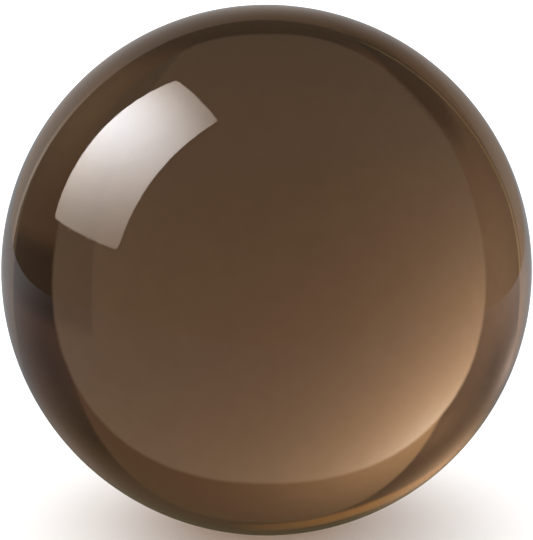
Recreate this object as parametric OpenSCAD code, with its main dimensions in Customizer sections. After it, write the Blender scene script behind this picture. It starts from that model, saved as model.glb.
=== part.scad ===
// Cue ball: one solid ball, cast from clear smoke-brown resin and polished all over.
// Millimetres, +Z up. The origin is the centre of the ball, so it is half a diameter above
// whatever the ball stands on. It has no seam, no core and no opening.

/* [Ball] */
// Diameter through the centre: 52.5 for snooker, 57.15 for pool, 61.5 for carom
ball_d = 57.15; // [52.5:0.05:61.5]

/* [Resin] */
// Red, green and blue of the smoke-brown resin
resin_tint = [0.36, 0.27, 0.19]; // [0:0.01:1]
// How solid the resin looks, from nearly clear to no light through
resin_depth = 0.7; // [0.2:0.05:1]

/* [Hidden] */
// Steps round the ball's waist, fine enough for a smooth outline
waist_steps = 180;

// The whole ball is turned and polished from one casting, so it is one solid.
module ball() {
    color(resin_tint, resin_depth)
        sphere(d = ball_d, $fn = waist_steps);
}

ball();
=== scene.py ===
# %% [markdown]
# A cue ball of clear smoke-brown resin
#
# A cue ball is the plainest thing on a billiards table: one casting, ground round and polished
# until it shines. Nothing on it can be taken off, so there is one piece to model here. All the
# work is in three places: a surface smooth enough to look through, a resin that gets darker
# where it is thicker, and a studio for the ball to reflect and to show upside down inside it.
#
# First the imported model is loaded. It gives the ball's place and size, in metres, and every
# later length is worked out from it.

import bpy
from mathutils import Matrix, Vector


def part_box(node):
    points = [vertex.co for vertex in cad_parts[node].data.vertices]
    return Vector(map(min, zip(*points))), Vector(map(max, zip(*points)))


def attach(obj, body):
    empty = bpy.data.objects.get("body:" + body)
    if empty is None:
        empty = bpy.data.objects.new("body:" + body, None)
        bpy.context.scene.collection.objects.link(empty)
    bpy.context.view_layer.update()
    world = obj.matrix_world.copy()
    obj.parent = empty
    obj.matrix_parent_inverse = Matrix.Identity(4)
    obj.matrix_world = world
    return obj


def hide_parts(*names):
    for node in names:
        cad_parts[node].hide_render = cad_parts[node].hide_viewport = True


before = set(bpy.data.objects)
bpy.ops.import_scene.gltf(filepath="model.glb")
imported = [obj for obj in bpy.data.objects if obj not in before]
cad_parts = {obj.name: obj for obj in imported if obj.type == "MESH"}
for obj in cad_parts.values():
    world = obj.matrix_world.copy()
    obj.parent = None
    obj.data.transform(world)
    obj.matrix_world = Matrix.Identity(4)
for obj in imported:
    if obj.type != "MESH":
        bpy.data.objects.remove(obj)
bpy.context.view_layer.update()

import bmesh
import bpy
import math
from mathutils import Vector

ball_low, ball_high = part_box("ball")
ball_centre = Vector((0, 0, (ball_low.z + ball_high.z) / 2))
ball_radius = (ball_high.z - ball_low.z) / 2
table_height = ball_low.z
print(f"ball of {2000 * ball_radius:.2f} mm, resting on a table at z = {1000 * table_height:.2f} mm")

# %% [markdown]
# The camera looks slightly down on the ball from straight in front, along +Y. A long lens is
# used, as for any small product: a short one would have to come so close that it would see less
# than half of the ball. The distance follows from the lens, because the ball is to fill the
# frame almost to its edges: the sine of half the ball's angle is its radius over its distance.

# %% Camera
LENS_MM = 150
SENSOR_MM = 36
NEAREST_SEEN = 0.01  # metres
VIEW_ELEVATION = math.radians(14)
BALL_SHARE_OF_FRAME = 0.9833  # the ball's diameter over the frame's longer side

camera_data = bpy.data.cameras.new("camera")
camera_data.lens = LENS_MM
camera_data.sensor_width = SENSOR_MM
camera_data.clip_start = NEAREST_SEEN
ball_half_angle = math.atan(BALL_SHARE_OF_FRAME * SENSOR_MM / 2 / LENS_MM)
camera_distance = ball_radius / math.sin(ball_half_angle)
view_back = Vector((0, -math.cos(VIEW_ELEVATION), math.sin(VIEW_ELEVATION)))

camera = bpy.data.objects.new("camera", camera_data)
camera.location = ball_centre + camera_distance * view_back
camera.rotation_euler = view_back.to_track_quat("Z", "Y").to_euler()
bpy.context.scene.collection.objects.link(camera)
bpy.context.scene.camera = camera
print(f"camera {1000 * camera_distance:.0f} mm from the ball's centre")

# %% [markdown]
# Node trees are easier to read as arithmetic than as wiring. A socket is wrapped in a small
# class, so that an expression such as `1 - haze * 0.5` adds its own Math nodes.

# %% A socket that does sums


class Signal:
    """The output of a node. Arithmetic on it adds Math nodes to the same tree."""

    def __init__(self, tree, socket):
        self.tree = tree
        self.socket = socket

    def __add__(self, other):
        return self.tree.maths("ADD", self, other)

    def __radd__(self, other):
        return self.tree.maths("ADD", other, self)

    def __sub__(self, other):
        return self.tree.maths("SUBTRACT", self, other)

    def __rsub__(self, other):
        return self.tree.maths("SUBTRACT", other, self)

    def __mul__(self, other):
        return self.tree.maths("MULTIPLY", self, other)

    def __rmul__(self, other):
        return self.tree.maths("MULTIPLY", other, self)

    def __truediv__(self, other):
        return self.tree.maths("DIVIDE", self, other)

    def __pow__(self, other):
        return self.tree.maths("POWER", self, other)

    def __neg__(self):
        return self.tree.maths("MULTIPLY", self, -1.0)

    def __abs__(self):
        return self.tree.maths("ABSOLUTE", self)


print("sockets can be added, multiplied and so on")

# %% [markdown]
# Every other node comes from one method, which sets the node up first and then fills in its
# sockets. The short methods under it are the few nodes that this ball needs again and again.

# %% A tree, and its one way to add a node


def opaque(colour):
    """A colour socket takes four numbers, so red, green and blue get an alpha of 1."""
    return colour if isinstance(colour, Signal) or len(colour) == 4 else (*colour, 1.0)


class NodeTree:
    """An empty node tree, and the one method that adds nodes to it."""

    def __init__(self, owner):
        owner.use_nodes = True
        self.tree = owner.node_tree
        self.tree.nodes.clear()

    def node(self, kind, settings=None, inputs=None, output=0):
        """Adds a node: settings first, then socket values and links. A tuple asks for several outputs."""
        made = self.tree.nodes.new(kind)
        for name, setting in (settings or {}).items():
            setattr(made, name, setting)
        for name, value in (inputs or {}).items():
            if isinstance(value, Signal):
                self.tree.links.new(value.socket, made.inputs[name])
            else:
                made.inputs[name].default_value = value
        if isinstance(output, tuple):
            return [Signal(self, made.outputs[name]) for name in output]
        return Signal(self, made.outputs[output]) if made.outputs else made

    def maths(self, operation, first, second=0.0):
        return self.node("ShaderNodeMath", {"operation": operation}, {0: first, 1: second})

    def vectors(self, operation, inputs, output="Vector"):
        return self.node("ShaderNodeVectorMath", {"operation": operation}, inputs, output)

    def exponential(self, power):
        return self.maths("EXPONENT", power)

    def degrees(self, operation, first, second=0.0):
        """An inverse trigonometric function, in degrees."""
        return self.maths(operation, first, second) * math.degrees(1)

    def dot(self, vector, axis):
        """How far a vector goes along an axis."""
        return self.vectors("DOT_PRODUCT", {0: vector, 1: axis}, "Value")

    def distance(self, place, other):
        return self.vectors("DISTANCE", {0: place, 1: other}, "Value")

    def parts(self, vector):
        """The x, y and z of a vector."""
        return self.node("ShaderNodeSeparateXYZ", {}, {0: vector}, ("X", "Y", "Z"))

    def joined(self, x, y, z):
        """A vector from its x, y and z."""
        return self.node("ShaderNodeCombineXYZ", {}, {"X": x, "Y": y, "Z": z})

    def ramp(self, value, low, high, shape="LINEAR"):
        """0 up to low, 1 from high on, and a straight line between them."""
        return self.node("ShaderNodeMapRange", {"interpolation_type": shape},
                         {"Value": value, "From Min": low, "From Max": high})

    def rise(self, value, low, high):
        """0 up to low, 1 from high on, and a smooth step between them."""
        return self.ramp(value, low, high, "SMOOTHSTEP")

    def mix(self, factor, first, second):
        """The first colour where the factor is 0, the second where it is 1."""
        return self.node("ShaderNodeMix", {"data_type": "RGBA", "clamp_factor": False},
                         {0: factor, 6: opaque(first), 7: opaque(second)}, 2)

    def scaled(self, colour, factor):
        """A colour made brighter or darker by a number."""
        return self.vectors("SCALE", {0: colour, "Scale": factor})

    def plus(self, base, light, amount):
        """A base colour with some of a light added to it."""
        return self.vectors("MULTIPLY_ADD",
                            {0: light, 1: self.joined(amount, amount, amount), 2: base})


print("node trees ready")

# %% [markdown]
# The ball's mesh is a cube's, blown up. A sphere made of rings has two poles, where thin
# triangles crowd together and show as pinches in a reflection. A cube whose faces are divided
# into a fine grid has none: each grid point is pushed out along its own radius. Its grid lines
# are spaced by angle first, so that the faces come out nearly the same size all over.

# %% The ball
GRID_CUTS = 95

ball_mesh = bmesh.new()
bmesh.ops.create_cube(ball_mesh, size=2.0)
bmesh.ops.subdivide_edges(ball_mesh, edges=ball_mesh.edges[:], cuts=GRID_CUTS, use_grid_fill=True)
for vert in ball_mesh.verts:
    by_angle = Vector(math.tan(side * math.pi / 4) for side in vert.co)
    vert.co = ball_centre + ball_radius * by_angle.normalized()
bmesh.ops.recalc_face_normals(ball_mesh, faces=ball_mesh.faces[:])
for face in ball_mesh.faces:
    face.smooth = True

cue_ball_data = bpy.data.meshes.new("cue_ball")
ball_mesh.to_mesh(cue_ball_data)
ball_mesh.free()
cue_ball = bpy.data.objects.new("cue_ball", cue_ball_data)
bpy.context.scene.collection.objects.link(cue_ball)
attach(cue_ball, "root")
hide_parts("ball")
print(f"cue ball: {len(cue_ball_data.polygons)} faces, no poles")

# %% [markdown]
# Smoke-brown resin is clear. Its colour is in its depth: light loses a little on every
# millimetre, most of all its blue, so the ball is darkest and reddest where a ray crosses its
# middle and paler near its outline. A volume that only absorbs gives exactly that, while a
# brown base colour would paint the outside and look like varnish. The losses are given for one
# metre of resin, because that is Blender's unit. Volume Absorption takes them as a density and
# a colour: the loss is the density times one minus the colour.

# %% The resin's depth
LOSS_PER_METRE = (20.0, 30.0, 40.5)  # of red, green and blue
RESIN_DENSITY = 45.0

resin_colour = [1 - loss / RESIN_DENSITY for loss in LOSS_PER_METRE]
left_across = [math.exp(-loss * 2 * ball_radius) for loss in LOSS_PER_METRE]
print("left of red, green and blue straight through the ball:",
      ", ".join(f"{100 * share:.0f}%" for share in left_across))

# %% [markdown]
# The finish on top of that is nearly nothing, and it is what keeps the ball from looking like a
# computed sphere. Poured resin is never quite even: broad clouds are a little greyer, and under
# them is a fine mottle of about a millimetre. Both take a few hundredths off the light that
# enters. They are placed by the ball's own coordinates, so they turn with the ball.

# %% Clouds and mottle in the resin
CLOUDS_PER_METRE = 45.0
MOTTLES_PER_METRE = 700.0
CLEAR_RESIN = (1.0, 0.985, 0.965)
CLOUDY_RESIN = (0.96, 0.968, 0.965)
MOTTLE_DEPTH = 0.07
MOTTLE_RANGE = (0.3, 0.7)  # the middle part of the noise, where most of it lies

smoke_resin = bpy.data.materials.new("smoke_resin")
tree = NodeTree(smoke_resin)
place = tree.node("ShaderNodeTexCoord", output="Object")


def noise(tree, place, scale, detail=2.0, distortion=0.0):
    return tree.node("ShaderNodeTexNoise", {}, {
        "Vector": place, "Scale": scale, "Detail": detail, "Distortion": distortion})


cloud = noise(tree, place, CLOUDS_PER_METRE, detail=4.0, distortion=1.5)
mottle = noise(tree, place, MOTTLES_PER_METRE)
mottle_light = 1 - MOTTLE_DEPTH + MOTTLE_DEPTH * tree.ramp(mottle, *MOTTLE_RANGE)
resin_face = tree.scaled(tree.mix(cloud, CLEAR_RESIN, CLOUDY_RESIN), mottle_light)
print(f"clouds of {1000 / CLOUDS_PER_METRE:.0f} mm and a mottle of {1000 / MOTTLES_PER_METRE:.1f} mm")

# %% [markdown]
# The mop that polished the face left hairlines, in a few patches and in two directions. They
# are thin bands of a noise that is stretched far along one axis, and they only make the face
# rougher. The polish also left a waviness of a few thousandths of a millimetre, which nothing
# but the straight edges of a reflection gives away.

# %% The polish, and the finished material
HAIRLINE_STRETCH = (30.0, 1400.0, 900.0)  # repeats per metre along, across and into the face
HAIRLINE_TURNS = ((0.3, 0.5, 0.6), (0.9, -0.4, 2.1))
HAIRLINE_HALF_WIDTH = 0.02
HAIRLINE_ROUGHNESS = 0.10
RUBBED_RANGE = (0.52, 0.66)  # only the peaks of the noise are rubbed patches
BEST_POLISH = 0.003
CLOUD_ROUGHNESS = 0.009
WAVE_HEIGHT = 3e-6  # metres
RESIN_IOR = 1.5


def hairlines(tree, place, turn):
    """Thin lines that follow one direction: 1 on a line and 0 beside it."""
    stretched = tree.node("ShaderNodeMapping", {}, {
        "Vector": place, "Rotation": turn, "Scale": HAIRLINE_STRETCH})
    from_line = abs(noise(tree, stretched, scale=1.0, detail=1.0) - 0.5)
    return 1 - tree.rise(from_line, 0.0, HAIRLINE_HALF_WIDTH)


rubbed = tree.rise(noise(tree, place, 2 * CLOUDS_PER_METRE), *RUBBED_RANGE)
lines = tree.maths("MAXIMUM", *(hairlines(tree, place, turn) for turn in HAIRLINE_TURNS))
resin = tree.node("ShaderNodeBsdfPrincipled", {}, {
    "Base Color": resin_face,
    "Roughness": BEST_POLISH + CLOUD_ROUGHNESS * cloud + HAIRLINE_ROUGHNESS * rubbed * lines,
    "IOR": RESIN_IOR,
    "Transmission Weight": 1.0,
    "Normal": tree.node("ShaderNodeBump", {}, {
        "Strength": 1.0, "Distance": WAVE_HEIGHT, "Height": mottle}),
})
depth = tree.node("ShaderNodeVolumeAbsorption", {}, {
    "Color": opaque(resin_colour),
    "Density": RESIN_DENSITY,
})
tree.node("ShaderNodeOutputMaterial", {}, {"Surface": resin, "Volume": depth})
cue_ball_data.materials.append(smoke_resin)
print("smoke resin on the ball")

# %% [markdown]
# A polished clear ball has no look of its own. It shows the room in front of it as a small
# picture on its skin, and the room behind it as an upside-down picture inside. So the studio
# does most of the work. It is painted on the dome around the ball, once for the light that
# shows through the ball and once for the light that shines on it.
#
# Both pictures are made of a few soft shapes, which need directions to stand in. Angles are in
# degrees: azimuth 0 is away from the camera and 90 to its right, and elevation 90 is straight up.

# %% Directions in the studio


def towards(azimuth, elevation):
    """The direction from the ball with this azimuth and elevation."""
    turn = math.radians(azimuth)
    climb = math.radians(elevation)
    return (math.sin(turn) * math.cos(climb), math.cos(turn) * math.cos(climb), math.sin(climb))


world = bpy.data.worlds.new("studio")
bpy.context.scene.world = world
tree = NodeTree(world)
aim = tree.node("ShaderNodeTexCoord", output="Generated")
across, along, upward = tree.parts(aim)
elevation = tree.degrees("ARCSINE", upward)
print("directions ready")

# %% [markdown]
# A lamp's light is a round patch that fades away on all sides. Sheets, walls and ceilings have
# edges, so they need a shape that says how far out a point is: raised to a high power it is a
# sharp rectangle, and to a low one it is nearly an ellipse.

# %% Soft shapes


def glow(tree, aim, azimuth, elevation, width):
    """A round patch of light: 1 in the middle, and about a third at width degrees from it."""
    sharpness = 2 / math.radians(width) ** 2
    return tree.exponential((tree.dot(aim, towards(azimuth, elevation)) - 1) * sharpness)


def lit(tree, base, aim, lamps):
    """A colour with round patches of light on it: each has a colour, azimuth, elevation and width."""
    for light, azimuth, elevation, width in lamps:
        base = tree.plus(base, light, glow(tree, aim, azimuth, elevation, width))
    return base


def shaded(tree, aim, shadows):
    """The light left under round shadows: each has a depth, azimuth, elevation and width."""
    left = 1.0
    for depth, azimuth, elevation, width in shadows:
        left = left - depth * glow(tree, aim, azimuth, elevation, width)
    return left


def pillow(sideways, half_width, height, half_height, power):
    """How far out a point is in a rectangle with rounded corners: 0 in the middle, 1 at the edge."""
    return (abs(sideways / half_width) ** power + abs(height / half_height) ** power) ** (1 / power)


def panel(azimuth, elevation, middle, half_size, power):
    """How far out a direction is in a panel that hangs in the studio."""
    return pillow(azimuth - middle[0], half_size[0], elevation - middle[1], half_size[1], power)


def inside(tree, reach, softness=0.02):
    """1 inside the edge and 0 outside it."""
    return 1 - tree.rise(reach, 1 - softness, 1 + softness)


def between(tree, value, low, high, softness):
    """1 between two limits and 0 outside them."""
    started = tree.rise(value, low - softness, low + softness)
    return started * (1 - tree.rise(value, high - softness, high + softness))


print("soft shapes ready")

# %% [markdown]
# What shows through the ball comes first. A solid ball is a strong lens, so from any side it
# gathers up almost the whole room behind it, upside down. Pale sheets stand round the ball, one
# before and one behind, and narrower ones at its sides. The light of a window falls on the left
# of the sheet behind the ball, and that is the warm glow at the ball's lower right. What lies
# behind the camera mirrors what lies in front of it, so the ball shows the same brown from
# every side.

# %% The pale sheets, seen through the ball
SHEET = ((-1, -19), (39, 42), 3)  # its middle, half its size, and how square its corners are
SIDE_SHEET = ((92, -19), (32, 42), 3)
SHEET_COLOUR = (0.31, 0.302, 0.302)
SHEET_RISE = (-68, 31)  # the elevations between which it gets brighter
SHEET_FOOT_LIGHT = 0.50
SHEET_TOP_EXTRA = 0.92
SHEET_LAMPS = (
    ((1.6, 2.6, 3.8), -39, 27, 12),  # the window's light itself
    ((1.85, 1.75, 1.52), -45, 24, 27),  # its warmer spill around it
)
RIGHT_SHADE = 0.2  # how much darker the sheet is at its lower right
RIGHT_SHADE_SIDE = (26, 27)  # the azimuths where that begins
RIGHT_SHADE_TOP = (-5, -1)  # the elevations where it ends
CORNER_SHADE = 0.45  # how much darker the room is round the sheet's lower left corner
CORNER = ((-43.5, -52), (8.5, 18), 2)
CORNER_SOFTNESS = 0.25

folded = tree.joined(across, abs(along), upward)
azimuth = tree.degrees("ARCTAN2", across, abs(along))

sheet = inside(tree, panel(azimuth, elevation, *SHEET))
side_sheet = inside(tree, panel(abs(azimuth), elevation, *SIDE_SHEET))
sheets = tree.maths("MAXIMUM", sheet, side_sheet)

brighter_up = SHEET_FOOT_LIGHT + SHEET_TOP_EXTRA * tree.ramp(elevation, *SHEET_RISE)
lower_right = tree.rise(azimuth, *RIGHT_SHADE_SIDE) * (1 - tree.rise(elevation, *RIGHT_SHADE_TOP))
lower_left = inside(tree, panel(azimuth, elevation, *CORNER), CORNER_SOFTNESS)
corner_light = 1 - CORNER_SHADE * lower_left
sheet_light = tree.scaled(SHEET_COLOUR, brighter_up * corner_light * (1 - RIGHT_SHADE * lower_right))
sheet_light = lit(tree, sheet_light, folded, SHEET_LAMPS)
print("painted the sheets")

# %% [markdown]
# Between the sheets and above them is a darker room, with its own lamps and shadows and one
# dark doorway, and a strip of amber light runs high along its left. They crowd together at the
# rim of the ball, because the lens squeezes the whole side of the room into that ring. The
# ceiling hangs over the top of the sheet and shows as the crescent at the ball's foot.

# %% The room and its ceiling, seen through the ball
CEILING = ((1, -10), (34, 55), 3.4)
CEILING_SOFTNESS = 0.025
CEILING_NEAR_EDGE = (-2, 6)  # below this the ceiling isn't seen
CEILING_COLOUR = (0.23, 0.177, 0.15)
CEILING_LAMPS = (((1.0, 0.89, 0.68), -30, 10, 23.5),)
ROOM_COLOUR = (0.165, 0.126, 0.108)
ROOM_LAMPS = (
    ((0.32, 0.31, 0.28), -45, -5, 24),  # the window's spill, left of the sheet
    ((0.10, 0.11, 0.09), 47, -40, 13),  # low on the right
    ((3.2, 2.9, 2.7), -62, 42, 13),  # a lamp high on the left
    ((1.4, 1.5, 1.8), -66, 14, 7),  # a small one below it
    ((0.75, 0.8, 1.3), 71, 39, 15),  # a cooler one high on the right
    ((0.2, 0.17, 0.15), -34, 19, 6),  # a spot by the edge of the ceiling
    ((0.4, 0.36, 0.32), 0, -90, 9),  # a little light from straight below
)
ROOM_SHADOWS = ((0.5, 36, 21, 9), (0.35, 43, 6, 8), (0.3, -50, 9, 6))
AMBER_LIGHT = (0.75, 0.48, 0.16)
AMBER_SLOPE = 0.19  # degrees up for each degree to the right
AMBER_HEIGHTS, AMBER_SOFTNESS = (47, 56.5), 2
AMBER_FADE = (-12, 30)  # degrees to the left, from no light to all of it
FLOOR_SHADE, FLOOR_EDGE = 0.52, (-61, -49)
DOORWAY_SHADE, DOORWAY_SIDE = 0.62, (37, 38)
DOORWAY_HEIGHTS, DOORWAY_SOFTNESS = (-15, -2), 2.5

ceiling = inside(tree, panel(azimuth, elevation, *CEILING), CEILING_SOFTNESS)
ceiling = ceiling * tree.rise(elevation, *CEILING_NEAR_EDGE)
ceiling_light = lit(tree, CEILING_COLOUR, folded, CEILING_LAMPS)

amber_band = between(tree, elevation - AMBER_SLOPE * azimuth, *AMBER_HEIGHTS, AMBER_SOFTNESS)
amber_band = amber_band * tree.ramp(-azimuth, *AMBER_FADE)
floor_light = 1 - FLOOR_SHADE * (1 - tree.rise(elevation, *FLOOR_EDGE))
doorway = between(tree, elevation, *DOORWAY_HEIGHTS, DOORWAY_SOFTNESS)
doorway = doorway * tree.rise(azimuth, *DOORWAY_SIDE)
room_light = tree.plus(lit(tree, ROOM_COLOUR, folded, ROOM_LAMPS), AMBER_LIGHT, amber_band)
room_light = tree.scaled(room_light, corner_light * floor_light * (1 - DOORWAY_SHADE * doorway)
                         * shaded(tree, folded, ROOM_SHADOWS))
through = tree.mix(sheets, tree.mix(ceiling, room_light, ceiling_light), sheet_light)
print("painted the room and its ceiling")

# %% [markdown]
# What shines on the ball is a second picture, much darker, because a polished face returns only
# a twentieth of what it is shown. It matters at the rim, where a glancing face turns into a
# mirror: the pale wall behind the ball makes the grey edge that runs round its outline. A thin
# lit strip just outside the wall's right edge makes the fine golden line inside that edge.

# %% Shining on the ball
WALL_HALF_WIDTH, WALL_TOP, WALL_ROUNDING = 39.5, 31.5, 2.4
WALL_MIDDLE = (0.32, 0.295, 0.28)
WALL_EDGE = (0.165, 0.095, 0.03)
WALL_LAMPS = (((0.7, 0.7, 0.7), -89, 0, 59), ((0.15, 0.15, 0.15), 35, 0, 15))
EDGE_LIGHT, EDGE_BAND, EDGE_LAMP = (0.5, 0.42, 0.32), (0.9, 0.95), (-42, 6, 12)
STRIP_LIGHT, STRIP_SIDE = (0.3, 0.2, 0.08), (15, 25)
STRIP_BAND, STRIP_SOFTNESS = (1.04, 1.09), 0.01  # the wall's edge is at 1
FRONT_SHADE = (0.09, 0.09, 0.063)

full_azimuth = tree.degrees("ARCTAN2", across, along)
above_floor = tree.maths("MAXIMUM", elevation, 0.0)
wall_reach = pillow(full_azimuth, WALL_HALF_WIDTH, above_floor, WALL_TOP, WALL_ROUNDING)
wall_light = tree.mix(tree.rise(wall_reach, 0, 1), WALL_MIDDLE, WALL_EDGE)
wall_light = lit(tree, wall_light, aim, WALL_LAMPS)
left_edge = tree.rise(wall_reach, *EDGE_BAND) * glow(tree, aim, *EDGE_LAMP)
wall_light = tree.plus(wall_light, EDGE_LIGHT, left_edge)

lit_strip = between(tree, wall_reach, *STRIP_BAND, STRIP_SOFTNESS)
lit_strip = lit_strip * tree.rise(full_azimuth, *STRIP_SIDE)
front_light = tree.plus(FRONT_SHADE, STRIP_LIGHT, lit_strip)
shine = tree.mix(inside(tree, wall_reach), front_light, wall_light)
print("painted what shines on the ball")

# %% [markdown]
# The last part of the dome lights the floor. The floor is pale paper, lit evenly by the dome
# and by a soft key light high on the left, a little more than it takes to turn it white. A lamp
# at an endless distance lights it evenly right to the horizon, so the dome behind it can be
# given the very shade that the paper takes. Light that the ball would gather into a bright spot
# on the paper is left out: the paper sees an even dome through the ball as well.
#
# A ray that has been bent by the ball counts both as a reflection and as a ray that came
# through, so what shines is mixed in first and what shows through is laid over it.

# %% The floor's light
PAPER_WHITENESS = 0.85
DOME_LIGHT = 1.5
KEY_LIGHT = 1.0
KEY_DIRECTION = Vector(towards(-60, 72))
KEY_SPREAD = math.radians(90)

paper_shade = PAPER_WHITENESS * (DOME_LIGHT + KEY_LIGHT * KEY_DIRECTION.z / math.pi)


def from_paper(tree):
    """1 for a ray that has already left the paper, and 0 for any other."""
    return tree.maths("MINIMUM", tree.node("ShaderNodeLightPath", output="Diffuse Depth"), 1.0)


is_shine, is_through, is_camera = tree.node("ShaderNodeLightPath", output=(
    "Is Glossy Ray", "Is Transmission Ray", "Is Camera Ray"))
even_light = (DOME_LIGHT,) * 3
dome = tree.mix(is_shine, even_light, shine)
dome = tree.mix(is_through, dome, through)
dome = tree.mix(from_paper(tree), dome, even_light)
dome = tree.mix(is_camera, dome, (paper_shade,) * 3)
background = tree.node("ShaderNodeBackground", {}, {"Color": dome})
tree.node("ShaderNodeOutputWorld", {}, {"Surface": background})

key_data = bpy.data.lights.new("key", "SUN")
key_data.angle = KEY_SPREAD
key_data.energy = KEY_LIGHT
key = bpy.data.objects.new("key", key_data)
key.rotation_euler = KEY_DIRECTION.to_track_quat("Z", "Y").to_euler()
key.visible_glossy = False
key.visible_transmission = False
bpy.context.scene.collection.objects.link(key)
print(f"the paper's shade is {paper_shade:.3f}")

# %% [markdown]
# Two glowing cards stand nearer than the dome, and the floor is a third card. Each is one face.
# The glowing ones are only there to be reflected: nothing else sees them, so they throw no
# light on the paper and no shadow.

# %% Flat cards


def flat_card(name, corners):
    """One face through the corners, in order, and an empty node tree for its material."""
    mesh = bmesh.new()
    mesh.faces.new([mesh.verts.new(corner) for corner in corners])
    data = bpy.data.meshes.new(name)
    mesh.to_mesh(data)
    mesh.free()
    made = bpy.data.objects.new(name, data)
    bpy.context.scene.collection.objects.link(made)
    material = bpy.data.materials.new(name)
    data.materials.append(material)
    return made, NodeTree(material)


def glowing_card(name, corners):
    """A card that nothing but a reflection can see."""
    made, tree = flat_card(name, corners)
    made.visible_camera = False
    made.visible_diffuse = False
    made.visible_transmission = False
    made.visible_shadow = False
    return tree


def emit(tree, colour):
    emission = tree.node("ShaderNodeEmission", {}, {"Color": colour})
    tree.node("ShaderNodeOutputMaterial", {}, {"Surface": emission})


CARD_ENDS = ((-1, -1), (1, -1), (1, 1), (-1, 1))  # the four corners, in order
print("cards can be cut")

# %% [markdown]
# The softbox hangs high on the left, and its reflection is the bright window on the ball:
# brightest a little above its middle, fading and turning warmer towards its ends, as the cloth
# of a real softbox does. It is dark to a ray from the paper, so that the ball throws no second
# window onto the floor.
#
# Seen from its far side, though, the ball would mirror the softbox at the very rim, as white as
# the paper behind it, and the glare would seem to bite into the outline. So the softbox fades
# to the shade of the room for a reflection that leaves the ball at a flat angle. Two lengths
# give the angle away: a point straight under the lamp is a whole radius nearer to it than the
# ball's centre is, and a point that it only grazes is no nearer at all.

# %% The softbox
SOFTBOX_MIDDLE = Vector((-11.65, 0.83, 11.26))  # in ball radii, from the ball's centre
SOFTBOX_ACROSS, SOFTBOX_UP = (-0.323, 0.946, -0.007), (0.43, 0.167, 0.887)
SOFTBOX_HALF_WIDTH, SOFTBOX_HALF_HEIGHT = 6.12, 9.1  # in ball radii
CLOTH_DIM, CLOTH_LAMP = 2.0, 12.3
CLOTH_DIM_COLOUR = (1.0, 0.84, 0.70)
CLOTH_LAMP_COLOUR = (1.0, 0.98, 0.99)
LAMP_PLACE, LAMP_REACH = (0.42, 0.08), (2.0, 0.72)  # across and up, in halves of the softbox
CORNER_SHARPNESS = 30
CLOTH_HEM = (0.975, 1.0)
FLAT_ANGLES = (0.28, 0.55)  # radii nearer: none of the light at the first, all at the second

box_middle = ball_centre + ball_radius * SOFTBOX_MIDDLE
box_across = Vector(SOFTBOX_ACROSS).normalized()
box_up = Vector(SOFTBOX_UP).normalized()
box_half_width = SOFTBOX_HALF_WIDTH * ball_radius
box_half_height = SOFTBOX_HALF_HEIGHT * ball_radius
tree = glowing_card("softbox", [
    box_middle + side * box_half_width * box_across + end * box_half_height * box_up
    for side, end in CARD_ENDS])

place = tree.node("ShaderNodeTexCoord", output="Object")
far_side = (tree.dot(place, box_across) - box_middle.dot(box_across)) / box_half_width
top_end = (tree.dot(place, box_up) - box_middle.dot(box_up)) / box_half_height
from_lamp = ((far_side - LAMP_PLACE[0]) / LAMP_REACH[0]) ** 2
from_lamp = from_lamp + ((top_end - LAMP_PLACE[1]) / LAMP_REACH[1]) ** 2
lamp = tree.exponential(-from_lamp)
cloth_edge = 1 - tree.rise(pillow(far_side, 1, top_end, 1, CORNER_SHARPNESS), *CLOTH_HEM)
cloth_light = tree.mix(lamp, CLOTH_DIM_COLOUR, CLOTH_LAMP_COLOUR)
cloth_light = tree.scaled(cloth_light, (CLOTH_DIM + CLOTH_LAMP * lamp) * cloth_edge)

ray_length = tree.node("ShaderNodeLightPath", output="Ray Length")
radii_nearer = (tree.distance(place, ball_centre) - ray_length) / ball_radius
cloth_light = tree.mix(tree.rise(radii_nearer, *FLAT_ANGLES), FRONT_SHADE, cloth_light)
emit(tree, tree.scaled(cloth_light, 1 - from_paper(tree)))
print(f"softbox of {2000 * box_half_width:.0f} by {2000 * box_half_height:.0f} mm")

# %% [markdown]
# The table is a dark top that only the reflection sees, and its edges curve round the ball's
# waist. Its glow is all painted: a painted shadow right under the ball, where the ball would
# shade it, painted amber light round that, which the ball would throw through itself onto the
# table, and painted light that makes it paler far behind.

# %% The table's reflection
TABLE_LEFT, TABLE_RIGHT, TABLE_FRONT, TABLE_BACK = -6.6, 4.7, -4.1, 60  # in ball radii
# painted amber light that the ball would throw through itself onto the table near it
AMBER_GLOW_NEAR = (0.11, 0.098, 0.052)
# the table's glow further from the ball
TABLE_GLOW_FAR = (0.09, 0.105, 0.12)
GLOW_CHANGE = (0.9, 2.2)  # from the one to the other, in ball radii
CONTACT_SHADE, CONTACT_REACH = 0.43, 0.4  # the reach in ball radii
BACK_LIGHT, BACK_RISE = 0.28, (-0.62, 3.6)  # the rise in ball radii

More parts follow.
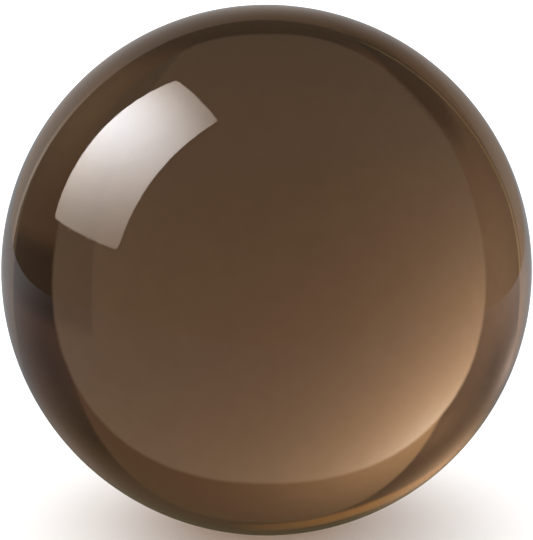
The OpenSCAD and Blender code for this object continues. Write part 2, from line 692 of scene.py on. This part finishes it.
tree = glowing_card("table_top", [
    ball_centre + ball_radius * Vector(corner) for corner in (
        (TABLE_LEFT, TABLE_FRONT, -1), (TABLE_RIGHT, TABLE_FRONT, -1),
        (TABLE_RIGHT, TABLE_BACK, -1), (TABLE_LEFT, TABLE_BACK, -1))])
place = tree.node("ShaderNodeTexCoord", output="Object")
right, back, _ = tree.parts(place)
from_ball = (right ** 2 + back ** 2) ** 0.5 / ball_radius
# a painted shadow right under the ball
contact_light = 1 - CONTACT_SHADE * tree.exponential(-((from_ball / CONTACT_REACH) ** 2))
# painted amber light near the ball, fading into the table's glow further out
table_glow = tree.mix(tree.rise(from_ball, *GLOW_CHANGE), AMBER_GLOW_NEAR, TABLE_GLOW_FAR)
lit_back = BACK_LIGHT * tree.rise(back, *(ball_radius * end for end in BACK_RISE))
emit(tree, tree.plus(tree.scaled(table_glow, contact_light), (1, 1, 1), lit_back))
print(f"table top {1000 * (TABLE_RIGHT - TABLE_LEFT) * ball_radius:.0f} mm wide")

# %% [markdown]
# The floor is plain paper, large enough to run out of sight. The ball neither reflects it nor
# shows it, because the dome already holds what the ball is to show.

# %% The floor
FLOOR_REACH = 20  # metres

floor, tree = flat_card("floor", [
    (side * FLOOR_REACH, end * FLOOR_REACH, table_height) for side, end in CARD_ENDS])
floor.visible_glossy = False
floor.visible_transmission = False
paper = tree.node("ShaderNodeBsdfDiffuse", {}, {"Color": opaque((PAPER_WHITENESS,) * 3)})
tree.node("ShaderNodeOutputMaterial", {}, {"Surface": paper})
print(f"floor {2 * FLOOR_REACH} m across")

# %% [markdown]
# The shades above were chosen for the Standard view, which shows them as they are. Light that
# is trapped in the ball bounces round inside it many times before it comes out, so it is
# followed further than usual.

# %% View and bounces
ALL_BOUNCES, BOUNCES_THROUGH, BOUNCES_SHINING = 16, 12, 8

scene = bpy.context.scene
scene.view_settings.view_transform = "Standard"
scene.view_settings.look = "None"
scene.cycles.max_bounces = ALL_BOUNCES
scene.cycles.transmission_bounces = BOUNCES_THROUGH
scene.cycles.glossy_bounces = BOUNCES_SHINING
print(f"light followed for {ALL_BOUNCES} bounces")
